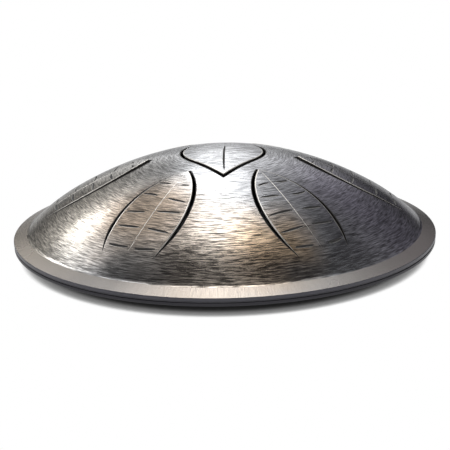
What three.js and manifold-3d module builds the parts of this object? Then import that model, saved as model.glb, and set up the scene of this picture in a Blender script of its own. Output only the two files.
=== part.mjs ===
// Steel tongue drum: a spun dome with leaf-shaped tongues slotted in it, closed from below by a
// shallow pan with a sound port, and standing on push-in rubber feet.
// Millimetres, +Z up. The origin is on the ground under the middle of the drum, and the leaf in
// the middle of the dome points along -Y.

import * as THREE from 'three';
import { mergeVertices } from 'three/addons/utils/BufferGeometryUtils.js';
import Module from 'manifold-3d';

const wasm = await Module();
wasm.setup();

// Dome, from its crown down to the rim
const SHEET = 2.0;
const CROWN_RADIUS = 193;
const DOME_RADIUS = 138.6;
const SHOULDER_WIDTH = 26.6;
const SHOULDER_RADIUS = 150;
const VALLEY_RADIUS = 6;
const BRIM_SLOPE = THREE.MathUtils.degToRad(21);
const BRIM_WIDTH = 9.5;

// Leaf tongues round the dome. The two at the sides are shorter, and the two at the back lie lower.
const LEAF_COUNT = 6;
const LEAF_TIP_RADIUS = 46.2;
const SIDE_TIP_RADIUS = 51.5;
const LEAF_ROOT_INSET = 15.6;
const LEAF_ROOT_TO_WIDEST = 23.7;
const LEAF_HALF_WIDTH = 23.7;
const LEAF_LIFT = THREE.MathUtils.degToRad(1.4);
const BACK_LIFT = THREE.MathUtils.degToRad(0.2);
const KERF = 2.0;
const ROOT_GAP = 0.3;

// Leaf tongue in the middle of the dome
const CENTER_TIP = 49.5;
const CENTER_TIP_ANGLE = THREE.MathUtils.degToRad(76);
const CENTER_HALF_WIDTH = 29.3;
const CENTER_SIDE_RADIUS = 39.3;
const CENTER_ROOT = 26;
const CENTER_LIFT = THREE.MathUtils.degToRad(0.6);

// Bond line that joins the dome's brim to the pan's brim
const SEAL_THICKNESS = 0.8;
const SEAL_WIDTH = 6.5;
const SEAL_INSET = 0.4;
const SEAL_GAP = 0.2;

// Pan
const PAN_SHEET = 2.0;
const PAN_INSET = 0.2;
const PAN_BRIM_WIDTH = 8.6;
const PAN_DEPTH = 8.5;
const PAN_WALL_SLOPE = THREE.MathUtils.degToRad(55);
const PAN_RIDGE_RADIUS = 4.5;
const PAN_CORNER_RADIUS = 4;
const PORT_RADIUS = 32;

// Rubber feet
const FOOT_COUNT = 4;
const FOOT_CIRCLE_RADIUS = 108;
const FOOT_RADIUS = 9;
const FOOT_HEIGHT = 5;
const FOOT_EDGE = 1.2;
const FOOT_HOLE_RADIUS = 4;
const FOOT_NECK_CLEARANCE = 0.3;
const FOOT_BARB = 1.4;
const FOOT_BARB_HEIGHT = 4;
const FOOT_SEAT_GAP = 0.2;

// Fineness of the facets
const RING_SEGMENTS = 72;
const CROWN_STEPS = 7;
const SHOULDER_STEPS = 3;
const BEND_STEPS = 3;
const LEAF_SIDE_STEPS = 7;
const FOOT_SEGMENTS = 20;

// Places that follow from the sizes above. Heights are from the dome's outer rim edge.
const shoulderStart = DOME_RADIUS - SHOULDER_WIDTH;
const shoulderSlope = Math.atan(shoulderStart / CROWN_RADIUS);
const footSlope = Math.asin(Math.sin(shoulderSlope) + SHOULDER_WIDTH / SHOULDER_RADIUS);
const valleyEnd = DOME_RADIUS + VALLEY_RADIUS * (Math.sin(footSlope) - Math.sin(BRIM_SLOPE));
const rimRadius = valleyEnd + BRIM_WIDTH;
const footHeight = BRIM_WIDTH * Math.tan(BRIM_SLOPE)
  + VALLEY_RADIUS * (Math.cos(BRIM_SLOPE) - Math.cos(footSlope));
const shoulderHeight = footHeight
  + SHOULDER_RADIUS * (Math.cos(shoulderSlope) - Math.cos(footSlope));
const crownHeight = shoulderHeight + shoulderStart ** 2 / (2 * CROWN_RADIUS);
const leafRoot = DOME_RADIUS - LEAF_ROOT_INSET;
const leafWidest = leafRoot - LEAF_ROOT_TO_WIDEST;
const panOffset = SHEET + SEAL_THICKNESS + 2 * SEAL_GAP;
const floorTop = PAN_SHEET - PAN_DEPTH;
const rimHeight = PAN_DEPTH + FOOT_SEAT_GAP + FOOT_HEIGHT;

const drumSteel = { color: 0x77736f, roughness: 0.34, metalness: 1.0 };
const panSteel = { color: 0x4c4a50, roughness: 0.45, metalness: 1.0 };
const bondBlack = { color: 0x26262a, roughness: 0.7, metalness: 0.0 };
const footRubber = { color: 0x1e1e20, roughness: 0.85, metalness: 0.0 };

// Point on a circular bend whose outward normal leans by the given slope from +Z
function bendPoint(center, radius, slope) {
  return new THREE.Vector2(center.x + radius * Math.sin(slope), center.y + radius * Math.cos(slope));
}

// Outer face of the dome and brim, as a profile from the axis out to the rim edge
function domePath() {
  const path = [];
  for (let i = 0; i < CROWN_STEPS; i++) {
    const r = (shoulderStart * i) / CROWN_STEPS;
    path.push(new THREE.Vector2(r, crownHeight - r ** 2 / (2 * CROWN_RADIUS)));
  }
  const shoulderCenter = new THREE.Vector2(
    shoulderStart - SHOULDER_RADIUS * Math.sin(shoulderSlope),
    shoulderHeight - SHOULDER_RADIUS * Math.cos(shoulderSlope),
  );
  for (let i = 0; i < SHOULDER_STEPS; i++) {
    const slope = THREE.MathUtils.lerp(shoulderSlope, footSlope, i / SHOULDER_STEPS);
    path.push(bendPoint(shoulderCenter, SHOULDER_RADIUS, slope));
  }
  const valleyCenter = new THREE.Vector2(
    DOME_RADIUS + VALLEY_RADIUS * Math.sin(footSlope),
    footHeight + VALLEY_RADIUS * Math.cos(footSlope),
  );
  for (let i = 0; i <= BEND_STEPS; i++) {
    const slope = THREE.MathUtils.lerp(footSlope, BRIM_SLOPE, i / BEND_STEPS);
    path.push(bendPoint(valleyCenter, -VALLEY_RADIUS, slope));
  }
  path.push(new THREE.Vector2(rimRadius, 0));
  return path;
}

// Height of the middle of the sheet at a radius on the crown or the shoulder
function sheetHeight(r) {
  if (r < shoulderStart) {
    const slope = Math.atan(r / CROWN_RADIUS);
    return crownHeight - r ** 2 / (2 * CROWN_RADIUS) - SHEET / (2 * Math.cos(slope));
  }
  const slope = Math.asin(Math.sin(shoulderSlope) + (r - shoulderStart) / SHOULDER_RADIUS);
  const drop = SHOULDER_RADIUS * (Math.cos(shoulderSlope) - Math.cos(slope));
  return shoulderHeight - drop - SHEET / (2 * Math.cos(slope));
}

// Arc of the given radius that rounds the corner of a profile
function roundCorner(before, corner, after, radius) {
  const toBefore = before.clone().sub(corner).normalize();
  const toAfter = after.clone().sub(corner).normalize();
  const halfAngle = Math.acos(toBefore.dot(toAfter)) / 2;
  const middle = toBefore.clone().add(toAfter).normalize();
  const center = corner.clone().addScaledVector(middle, radius / Math.sin(halfAngle));
  const start = corner.clone().addScaledVector(toBefore, radius / Math.tan(halfAngle)).sub(center);
  const turn = Math.sign(toBefore.cross(toAfter)) * (Math.PI - 2 * halfAngle);
  const arc = [];
  for (let i = 0; i <= BEND_STEPS; i++) {
    const angle = start.angle() - (turn * i) / BEND_STEPS;
    arc.push(new THREE.Vector2(Math.cos(angle), Math.sin(angle)).multiplyScalar(radius).add(center));
  }
  return arc;
}

// Height of a line parallel to the brim, the given distance below its outer face
function underBrim(r, distance) {
  return (rimRadius - r) * Math.tan(BRIM_SLOPE) - distance / Math.cos(BRIM_SLOPE);
}

// Inner face of the pan, as a profile from the port out to the rim
function panPath() {
  const edgeRadius = rimRadius - PAN_INSET;
  const ridgeRadius = edgeRadius - PAN_BRIM_WIDTH;
  const ridge = new THREE.Vector2(ridgeRadius, underBrim(ridgeRadius, panOffset));
  const wallRun = (ridge.y - floorTop) / Math.tan(PAN_WALL_SLOPE);
  const port = new THREE.Vector2(PORT_RADIUS, floorTop);
  const corner = new THREE.Vector2(ridgeRadius - wallRun, floorTop);
  const edge = new THREE.Vector2(edgeRadius, underBrim(edgeRadius, panOffset));
  return [
    port,
    ...roundCorner(port, corner, ridge, PAN_CORNER_RADIUS),
    ...roundCorner(corner, ridge, edge, PAN_RIDGE_RADIUS),
    edge,
  ];
}

// Closed profile of a sheet below the given path, with both ends cut plumb
function sheetProfile(path, thickness) {
  const normals = path.slice(1).map((point, i) => {
    const along = point.clone().sub(path[i]).normalize();
    return new THREE.Vector2(along.y, -along.x);
  });
  const last = path.length - 1;
  const under = path.map((point, i) => {
    if (i === 0 || i === last) {
      const normal = normals[Math.min(i, last - 1)];
      return new THREE.Vector2(point.x, point.y + thickness / normal.y);
    }
    const miter = normals[i - 1].clone().add(normals[i]);
    miter.divideScalar(1 + normals[i - 1].dot(normals[i]));
    return point.clone().addScaledVector(miter, thickness);
  });
  return [...path, ...under.reverse()];
}

// Solid of a closed mesh, with shared corners merged and empty triangles at the axis left out
function solidOf(geometry) {
  const bare = geometry.clone();
  bare.deleteAttribute('normal');
  bare.deleteAttribute('uv');
  const merged = mergeVertices(bare);
  const corners = merged.index.array;
  const triangles = [];
  for (let i = 0; i < corners.length; i += 3) {
    const [a, b, c] = corners.slice(i, i + 3);
    if (a !== b && b !== c && c !== a) triangles.push(a, b, c);
  }
  return new wasm.Manifold(new wasm.Mesh({
    numProp: 3,
    vertProperties: new Float32Array(merged.attributes.position.array),
    triVerts: new Uint32Array(triangles),
  }));
}

function geometryOf(solid) {
  const mesh = solid.getMesh();
  const geometry = new THREE.BufferGeometry();
  geometry.setAttribute('position', new THREE.BufferAttribute(mesh.vertProperties, 3));
  geometry.setIndex(new THREE.BufferAttribute(mesh.triVerts, 1));
  geometry.computeVertexNormals();
  return geometry;
}

// Solid of revolution round +Z. A profile off the axis is closed on itself.
function turned(profile, segments) {
  const points = profile[0].x === 0 ? profile : [...profile, profile[0]];
  const lathe = new THREE.LatheGeometry(points.toReversed(), segments);
  lathe.rotateX(Math.PI / 2);
  return solidOf(lathe);
}

// Upright prism over a plan outline, tall enough to pass right through the dome
function punch(outline) {
  const bottom = -panOffset;
  const depth = crownHeight + 2 * panOffset;
  const prism = new THREE.ExtrudeGeometry(outline, {
    depth, bevelEnabled: false, curveSegments: LEAF_SIDE_STEPS,
  });
  prism.translate(0, 0, bottom);
  return prism;
}

// Plan outline of an outer leaf with its tip towards the drum's axis, along +X.
// margin moves its two sides outwards, and tip and root are where its point and straight end lie.
function leafOutline(margin, tip, root) {
  const length = leafWidest - tip;
  const sideRadius = (length ** 2 + LEAF_HALF_WIDTH ** 2) / (2 * LEAF_HALF_WIDTH);
  const centerY = LEAF_HALF_WIDTH - sideRadius;
  const radius = sideRadius + margin;
  const tipAngle = Math.PI - Math.asin(-centerY / radius);
  const rootAngle = Math.acos((root - leafWidest) / radius);
  const outline = new THREE.Shape();
  outline.absarc(leafWidest, centerY, radius, tipAngle, rootAngle, true);
  outline.absarc(leafWidest, -centerY, radius, -rootAngle, -tipAngle, true);
  return outline;
}

// Plan outline of the middle leaf: straight flanks from its tip on -Y, then round sides to its root
function centerOutline(margin, root) {
  const halfTip = CENTER_TIP_ANGLE / 2;
  const centerX = CENTER_HALF_WIDTH - CENTER_SIDE_RADIUS;
  const flankX = centerX + CENTER_SIDE_RADIUS * Math.cos(halfTip);
  const centerY = CENTER_SIDE_RADIUS * Math.sin(halfTip) + flankX / Math.tan(halfTip) - CENTER_TIP;
  const radius = CENTER_SIDE_RADIUS + margin;
  const rootAngle = Math.asin((root - centerY) / radius);
  const outline = new THREE.Shape();
  outline.absarc(centerX, centerY, radius, -halfTip, rootAngle, false);
  outline.absarc(-centerX, centerY, radius, Math.PI - rootAngle, Math.PI + halfTip, false);
  outline.lineTo(0, -CENTER_TIP - margin / Math.sin(halfTip));
  return outline;
}

// Turn that takes +X to the direction of each outer leaf, the first just right of -Y
function leafTurn(i) {
  return -Math.PI / 2 + (2 * Math.PI * (i + 0.5)) / LEAF_COUNT;
}

function leafTip(i) {
  return Math.abs(Math.sin(leafTurn(i))) < 0.5 ? SIDE_TIP_RADIUS : LEAF_TIP_RADIUS;
}

function leafLift(i) {
  return Math.sin(leafTurn(i)) > 0.5 ? BACK_LIFT : LEAF_LIFT;
}

function footTurn(i) {
  return (2 * Math.PI * (i + 0.5)) / FOOT_COUNT;
}

function makeShell(whole) {
  let shell = whole;
  for (let i = 0; i < LEAF_COUNT; i++) {
    const leafWindow = punch(leafOutline(KERF / 2, leafTip(i), leafRoot + ROOT_GAP / 2));
    shell = shell.subtract(solidOf(leafWindow.rotateZ(leafTurn(i))));
  }
  return shell.subtract(solidOf(punch(centerOutline(KERF / 2, CENTER_ROOT + ROOT_GAP / 2))));
}

function makePan() {
  let pan = turned(sheetProfile(panPath(), PAN_SHEET), RING_SEGMENTS);
  for (let i = 0; i < FOOT_COUNT; i++) {
    const drill = new THREE.CylinderGeometry(
      FOOT_HOLE_RADIUS, FOOT_HOLE_RADIUS, 2 * PAN_DEPTH, FOOT_SEGMENTS,
    );
    drill.rotateX(Math.PI / 2).translate(FOOT_CIRCLE_RADIUS, 0, floorTop).rotateZ(footTurn(i));
    pan = pan.subtract(solidOf(drill));
  }
  return pan;
}

function makeSeal() {
  const outer = rimRadius - SEAL_INSET;
  const inner = outer - SEAL_WIDTH;
  const top = SHEET + SEAL_GAP;
  const bottom = top + SEAL_THICKNESS;
  return turned([
    new THREE.Vector2(inner, underBrim(inner, top)),
    new THREE.Vector2(outer, underBrim(outer, top)),
    new THREE.Vector2(outer, underBrim(outer, bottom)),
    new THREE.Vector2(inner, underBrim(inner, bottom)),
  ], RING_SEGMENTS);
}

// Push-in foot, turned about its own axis: barb above the pan's floor, neck in its hole, pad below
function makeFoot() {
  const neck = FOOT_HOLE_RADIUS - FOOT_NECK_CLEARANCE;
  const barb = FOOT_HOLE_RADIUS + FOOT_BARB;
  const seat = -PAN_DEPTH - FOOT_SEAT_GAP;
  const ground = seat - FOOT_HEIGHT;
  const catchHeight = floorTop + FOOT_SEAT_GAP;
  return turned([
    new THREE.Vector2(0, catchHeight + FOOT_BARB_HEIGHT),
    new THREE.Vector2(neck, catchHeight + FOOT_BARB_HEIGHT),
    new THREE.Vector2(barb, catchHeight + FOOT_BARB),
    new THREE.Vector2(barb, catchHeight),
    new THREE.Vector2(neck, catchHeight),
    new THREE.Vector2(neck, seat),
    new THREE.Vector2(FOOT_RADIUS, seat),
    new THREE.Vector2(FOOT_RADIUS, ground + FOOT_EDGE),
    new THREE.Vector2(FOOT_RADIUS - FOOT_EDGE, ground),
    new THREE.Vector2(0, ground),
  ], FOOT_SEGMENTS);
}

const drum = new THREE.Group();
drum.position.z = rimHeight;

function addPiece(name, solid, finish) {
  const material = new THREE.MeshStandardMaterial({ ...finish, flatShading: true });
  const mesh = new THREE.Mesh(geometryOf(solid), material);
  mesh.name = name;
  drum.add(mesh);
  return mesh;
}

// Sets a tongue up about the middle of its root line, so that its tip stands proud of the dome.
// direction points from the drum's axis to the root.
function setUp(tongue, root, direction, lift) {
  const hinge = direction.clone().multiplyScalar(root).setZ(sheetHeight(root));
  const axis = new THREE.Vector3(-direction.y, direction.x, 0);
  tongue.applyMatrix4(new THREE.Matrix4().makeTranslation(hinge.clone().negate()));
  tongue.applyMatrix4(new THREE.Matrix4().makeRotationAxis(axis, lift));
  tongue.applyMatrix4(new THREE.Matrix4().makeTranslation(hinge));
}

const wholeDome = turned(sheetProfile(domePath(), SHEET), RING_SEGMENTS);
const centerTongue = solidOf(punch(centerOutline(-KERF / 2, CENTER_ROOT - ROOT_GAP / 2)));
const foot = makeFoot();

addPiece('top_shell', makeShell(wholeDome), drumSteel);
const middle = addPiece('center_tongue', wholeDome.intersect(centerTongue), drumSteel);
setUp(middle, CENTER_ROOT, new THREE.Vector3(0, 1, 0), CENTER_LIFT);
for (let i = 0; i < LEAF_COUNT; i++) {
  const leaf = punch(leafOutline(-KERF / 2, leafTip(i), leafRoot - ROOT_GAP / 2)).rotateZ(leafTurn(i));
  const tongue = addPiece(`tongue_${i + 1}`, wholeDome.intersect(solidOf(leaf)), drumSteel);
  const direction = new THREE.Vector3(Math.cos(leafTurn(i)), Math.sin(leafTurn(i)), 0);
  setUp(tongue, leafRoot, direction, leafLift(i));
}
addPiece('bottom_pan', makePan(), panSteel);
addPiece('rim_seal', makeSeal(), bondBlack);
for (let i = 0; i < FOOT_COUNT; i++) {
  const piece = addPiece(`foot_${i + 1}`, foot, footRubber);
  piece.position.set(FOOT_CIRCLE_RADIUS * Math.cos(footTurn(i)), FOOT_CIRCLE_RADIUS * Math.sin(footTurn(i)), 0);
}

const tongueDrum = new THREE.Group();
tongueDrum.add(drum);

export default tongueDrum;
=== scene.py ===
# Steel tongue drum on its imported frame: a spun dome with leaf tongues slotted in it, the pan that closes
# it, the bond line between their brims and four rubber feet.
# Sizes are millimetres. They become metres where a mesh, a node or the camera takes them.

import math
import random
from functools import partial

import bmesh
import bpy
import numpy as np
from mathutils import Matrix, Vector
from mathutils.geometry import delaunay_2d_cdt


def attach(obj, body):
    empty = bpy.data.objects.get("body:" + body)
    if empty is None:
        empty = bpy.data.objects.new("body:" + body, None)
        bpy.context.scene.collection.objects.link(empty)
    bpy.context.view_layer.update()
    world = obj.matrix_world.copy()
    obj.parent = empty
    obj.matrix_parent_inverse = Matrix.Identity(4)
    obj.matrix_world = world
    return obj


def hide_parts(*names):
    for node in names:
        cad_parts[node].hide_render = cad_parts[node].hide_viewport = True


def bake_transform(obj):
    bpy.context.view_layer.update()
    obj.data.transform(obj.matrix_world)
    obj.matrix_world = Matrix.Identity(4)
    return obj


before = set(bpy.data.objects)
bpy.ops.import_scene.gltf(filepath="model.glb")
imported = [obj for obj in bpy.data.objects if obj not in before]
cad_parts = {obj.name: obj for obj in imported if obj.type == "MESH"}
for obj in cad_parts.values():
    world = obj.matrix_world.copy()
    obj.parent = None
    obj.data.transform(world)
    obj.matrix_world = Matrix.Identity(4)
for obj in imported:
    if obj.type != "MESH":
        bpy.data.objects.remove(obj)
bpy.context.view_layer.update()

MM = 0.001
SEED = 7

# Dome, from its crown down to the rim
SHEET = 2.0
CROWN_RADIUS = 193.0
DOME_RADIUS = 138.6
SHOULDER_WIDTH = 26.6
SHOULDER_RADIUS = 150.0
VALLEY_RADIUS = 6.0
BRIM_SLOPE = math.radians(21)
BRIM_WIDTH = 9.5
RIM_ROUND = 0.3

# Points of the rounding at the rim's upper and lower edge: shares of it in from the face and from the edge
RIM_UPPER = (0.18, 0.5), (0.5, 0.15), (1.0, 0.0)
RIM_LOWER = (1.0, 0.0), (0.4, 0.2)

# Leaf tongues round the dome. The two at the sides are shorter, and the two at the back lie lower.
FRONT_DEGREES = -90
LEAF_COUNT = 6
LEAF_TIP_RADIUS = 46.2
SIDE_TIP_RADIUS = 51.5
LEAF_WIDEST_RADIUS = 99.3
LEAF_HALF_WIDTH = 23.7
LEAF_END_RADIUS = 125.2
LEAF_LIFT = math.radians(1.4)
BACK_LIFT = math.radians(0.2)

# Leaf tongue in the middle of the dome
CENTER_TURN = math.radians(90)
CENTER_TIP = 49.5
CENTER_TIP_ANGLE = math.radians(76)
CENTER_HALF_WIDTH = 29.3
CENTER_SIDE_RADIUS = 39.3
CENTER_END = 27.0
CENTER_LIFT = math.radians(0.6)

# Slots: sawn with a thin disc, so that they run out to a point at the root
KERF = 2.0
KERF_RUN_OUT = 0.22
KERF_CLOSING = 0.8
EDGE_WIDTH = 0.7
EDGE_DROP = 0.3
BEND_LENGTH = 20.0

# Engraved lines on the leaves, cut by hand: a pair is the range that a cut falls in, and a shift, a drift
# or a bow goes to either side. A bow is a share of the line's length.
GROOVE_TAPER = 0.3
MIDRIB_WIDTH = 0.45
MIDRIB_DEPTH = 0.08
MIDRIB_TIP_INSET = 3.0
MIDRIB_ROOT_INSET = 1.5
MIDRIB_DRIFT = 0.8
MIDRIB_BOW = 0.015
VEIN_WIDTH = 1.6
VEIN_DEPTH = 0.6
# width of the flat strip of brighter metal beside a vein, a painted highlight of its edge
VEIN_LIP_HIGHLIGHT = 0.2
VEIN_COUNT = 5
VEIN_FIRST = 64.5
VEIN_SPACING = 13.9
VEIN_SHIFT = 1.0
VEIN_SLANT = -0.8, 2.8
VEIN_BOW = 0.05
VEIN_START = 1.5, 6.0
VEIN_EDGE = 2.6, 4.0
VEIN_REACH = 20.5

# Lines on the middle leaf: the midrib's ends, and each pair of veins by its place and its reach
CENTER_MIDRIB_INSET = 6.0
CENTER_MIDRIB_END = 14.0
CENTER_MIDRIB_SIDE = -0.6, -1.6
CENTER_MIDRIB_BOW = 0.01
CENTER_VEINS = (-20.0, 15.0), (-8.0, 21.0), (4.0, 24.0)
CENTER_VEIN_SHIFT = 1.5
CENTER_VEIN_SLANT = 0.5, 3.0
CENTER_VEIN_START = 3.0, 5.0

# Bond line, pan and feet
SEAL_THICKNESS = 0.8
SEAL_GAP = 0.2
SEAL_INSET = 0.4
SEAL_WIDTH = 6.5
SEAL_ROUND = 0.25
PAN_SHEET = 2.0
PAN_INSET = 0.2
PAN_BRIM_WIDTH = 8.6
PAN_DEPTH = 8.5
PAN_WALL_SLOPE = math.radians(55)
PAN_RIDGE_RADIUS = 4.5
PAN_CORNER_RADIUS = 4.0
PAN_EDGE_ROUND = 0.4
PORT_RADIUS = 32.0
FOOT_COUNT = 4
FOOT_FIRST_TURN = math.radians(45)
FOOT_CIRCLE_RADIUS = 108.0
FOOT_RADIUS = 9.0
FOOT_HEIGHT = 5.0
FOOT_HOLE_RADIUS = 4.0
FOOT_NECK_CLEARANCE = 0.3
FOOT_BARB = 1.4
FOOT_BARB_HEIGHT = 4.0
FOOT_SEAT_GAP = 0.2

# Rounding of a foot's edges, from the sole up: sole, seat, the neck's two ends, then three on the barb
FOOT_ROUNDS = 1.2, 0.6, 0.2, 0.2, 0.4, 0.8, 0.6

# Fineness of the meshes. The clearances are shares of the spacing.
RING_POINTS = 360
FOOT_SEGMENTS = 64
SKIRT_START = 128.5
SKIRT_STEPS = 5
SKIN_SPACING = 3.0
UNDER_SPACING = 8.0
ROW_CLEARANCE = 0.35
SKIRT_CLEARANCE = 0.6
SIDE_STEPS = 44
SEAM_STEPS = 14
STROKE_STEPS = 14
EDGE_STEPS = 3
BEND_STEPS = 10
SHARP_ANGLE = math.radians(40)
WELD = 0.001
SAME_PLACE = 1e-5
NO_LENGTH = 1e-12

# Surfaces of a sheet piece. SCRIBED_AND_HIGHLIGHT is the bare metal of the midribs and of the veins' lips;
# on the lips its brighter metal is a painted highlight of the vein's edge.
SKIN = 0
UNDERSIDE = 1
CUT = 2
RIM_EDGE = 3
FILED = 4
VEIN = 5
SCRIBED_AND_HIGHLIGHT = 6

# Outer face and underside of a sheet: spacing of its points, depth and finish
FACES = (SKIN_SPACING, 0.0, SKIN), (UNDER_SPACING, SHEET, UNDERSIDE)

# Places that follow from the sizes above. Heights are from the dome's outer rim edge.
shoulder_start = DOME_RADIUS - SHOULDER_WIDTH
shoulder_slope = math.atan(shoulder_start / CROWN_RADIUS)
foot_slope = math.asin(math.sin(shoulder_slope) + SHOULDER_WIDTH / SHOULDER_RADIUS)
valley_center = DOME_RADIUS + VALLEY_RADIUS * math.sin(foot_slope)
valley_end = DOME_RADIUS + VALLEY_RADIUS * (math.sin(foot_slope) - math.sin(BRIM_SLOPE))
rim_radius = valley_end + BRIM_WIDTH
valley_rise = VALLEY_RADIUS * (math.cos(BRIM_SLOPE) - math.cos(foot_slope))
foot_height = BRIM_WIDTH * math.tan(BRIM_SLOPE) + valley_rise
shoulder_height = foot_height + SHOULDER_RADIUS * (math.cos(shoulder_slope) - math.cos(foot_slope))
crown_height = shoulder_height + shoulder_start ** 2 / (2 * CROWN_RADIUS)
pan_offset = SHEET + SEAL_THICKNESS + 2 * SEAL_GAP
rim_height = PAN_DEPTH + FOOT_SEAT_GAP + FOOT_HEIGHT
leaf_turns = [math.radians(FRONT_DEGREES + 360 / LEAF_COUNT * (i + 0.5)) for i in range(LEAF_COUNT)]
leaf_tips = [LEAF_TIP_RADIUS, SIDE_TIP_RADIUS, LEAF_TIP_RADIUS] * 2
leaf_lifts = [LEAF_LIFT, LEAF_LIFT, BACK_LIFT, BACK_LIFT, LEAF_LIFT, LEAF_LIFT]

# The press form, as inputs of its tree
FORM_LENGTHS = {
    "Crown Height": crown_height,
    "Crown Radius": CROWN_RADIUS,
    "Shoulder Start": shoulder_start,
    "Shoulder Radius": SHOULDER_RADIUS,
    "Shoulder Center Radius": shoulder_start - SHOULDER_RADIUS * math.sin(shoulder_slope),
    "Shoulder Center Height": shoulder_height - SHOULDER_RADIUS * math.cos(shoulder_slope),
    "Dome Radius": DOME_RADIUS,
    "Valley Radius": VALLEY_RADIUS,
    "Valley Center Radius": valley_center,
    "Valley Center Height": foot_height + VALLEY_RADIUS * math.cos(foot_slope),
    "Valley End": valley_end,
    "Rim Radius": rim_radius,
    "Rim Height": rim_height,
}

# The two kinds of node that the trees use most, and the settings of a mix node for vectors, which are its
# inputs 4 and 5, and for colours, which are its inputs 6 and 7
MATH = "ShaderNodeMath"
VECTOR_MATH = "ShaderNodeVectorMath"
VECTORS = {"output": 1, "data_type": "VECTOR"}
COLORS = {"output": 2, "data_type": "RGBA"}


def feed(node, inputs):
    """Gives a node its inputs, by name or in order: a socket is linked and a plain value is set."""
    for socket, value in inputs.items() if isinstance(inputs, dict) else enumerate(inputs):
        if isinstance(value, bpy.types.NodeSocket):
            node.id_data.links.new(value, node.inputs[socket])
        else:
            node.inputs[socket].default_value = value


def add(tree, kind, inputs=(), operation=None, output=0, **settings):
    """Adds a node with its settings and links, and returns the wanted output."""
    node = tree.nodes.new(kind)
    for name, value in settings.items():
        setattr(node, name, value)
    if operation:
        node.operation = operation
    feed(node, inputs)
    return node.outputs[output] if node.outputs else None


def linear(code):
    """sRGB hex colour as linear RGBA."""
    channels = [int(code[i:i + 2], 16) / 255 for i in (1, 3, 5)]
    return [c / 12.92 if c <= 0.04045 else ((c + 0.055) / 1.055) ** 2.4 for c in channels] + [1.0]


def lerp(a, b, t):
    return a + (b - a) * t


# Materials


def new_material(name):
    """A material with only its Principled shader, the call that adds nodes to it, and that shader."""
    material = bpy.data.materials.new(name)
    material.use_nodes = True
    tree = material.node_tree
    return material, partial(add, tree), tree.nodes["Principled BSDF"]


def plan_places(put):
    """Place on the object, the same in plan, its distance from the axis and the direction to it."""
    place = put("ShaderNodeTexCoord", output="Object")
    flat = put(VECTOR_MATH, [place, (1.0, 1.0, 0.0)], "MULTIPLY")
    radius = put(VECTOR_MATH, [flat], "LENGTH", output="Value")
    around = put(VECTOR_MATH, [flat], "NORMALIZE")
    return place, flat, radius, around


def mottled(name, grain_size, dark, light, roughness, metallic=0.0, detail=2.0, relief=0.0):
    """Material that clouds between two tones, with the grain's relief as bump where it has any."""
    material, put, shader = new_material(name)
    place = put("ShaderNodeTexCoord", output="Object")
    grain = put("ShaderNodeTexNoise", {"Vector": place, "Scale": 1 / (grain_size * MM), "Detail": detail})
    color = put("ShaderNodeMix", {"Factor": grain, 6: linear(dark), 7: linear(light)}, **COLORS)
    if relief:
        feed(shader, {"Normal": put("ShaderNodeBump", {"Distance": relief * MM, "Height": grain})})
    feed(shader, {"Base Color": color, "Metallic": metallic, "Roughness": roughness})
    return material


# Mild steel, ground by hand, darkened and lacquered: short strokes round the dome, across the brim and
# straight over the middle leaf, a highlight drawn out across them, warm grey and brown tints of the heat, a
# straw tint at the front right, and on the right side a blue-black tint that is darker than the steel as
# painted shade of that side. The strokes are drawn coarser than real grit so that they show in the render.
STROKE_WIDTH = 0.3
STROKE_LENGTH = 6.0
STROKE_HEIGHT = 0.022
STROKE_WANDER = 0.4
WANDER_SIZE = 22.0
COARSE = 0.6
BRIM_CALM = 0.92
HIGHLIGHT_STRETCH = 0.6
EDGE_TINT = "#bcbcbc"
NOISE_MEAN = 0.5
STROKE_MEAN = 2 * NOISE_MEAN

# The front is gone over harder: gain of the strokes' contrast away from that place and at it
HARD_PLACE = 0.0, -122.0
HARD_REACH = 60.0
WORN_GAIN = 2.8, 8.0
WORN_LIMITS = 0.2, 1.8

# Tints in plan, the blue-black one also painted shade: place, reach and colour. Their borders wander, and
# so does the roughness.
STEEL = "#a5a6a8"
BRIM_STEEL = "#a49b92"
BRIM_SHARE = 0.5
TINTS_AND_SHADE = (
    ((-120.0, -35.0), 110.0, "#a09b93"),
    ((-10.0, -130.0), 75.0, "#968e85"),
    ((-52.0, -78.0), 54.0, "#95887b"),
    ((30.0, -112.0), 40.0, "#a28f79"),
    # blue-black on the right side, darker than the steel: a tint, and painted shade of that side
    ((108.0, -40.0), 105.0, "#74717c"),
)
TINT_WANDER = 30.0
TINT_SIZE = 35.0
SPOT_CORE = 0.2
CLOUD_RANGE = 0.3, 0.7
CLOUD_ROUGHNESS = 0.22, 0.29


def round_spot(put, place, spot, reach, near, far, fade):
    """Value that goes from near to far over the reach of a spot in plan."""
    center = (spot[0] * MM, spot[1] * MM, 0.0)
    away = put(VECTOR_MATH, [place, center], "DISTANCE", output="Value")
    span = {"From Min": SPOT_CORE * reach * MM, "From Max": reach * MM, "To Min": near, "To Max": far}
    return put("ShaderNodeMapRange", {"Value": away, **span}, interpolation_type=fade)


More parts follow.
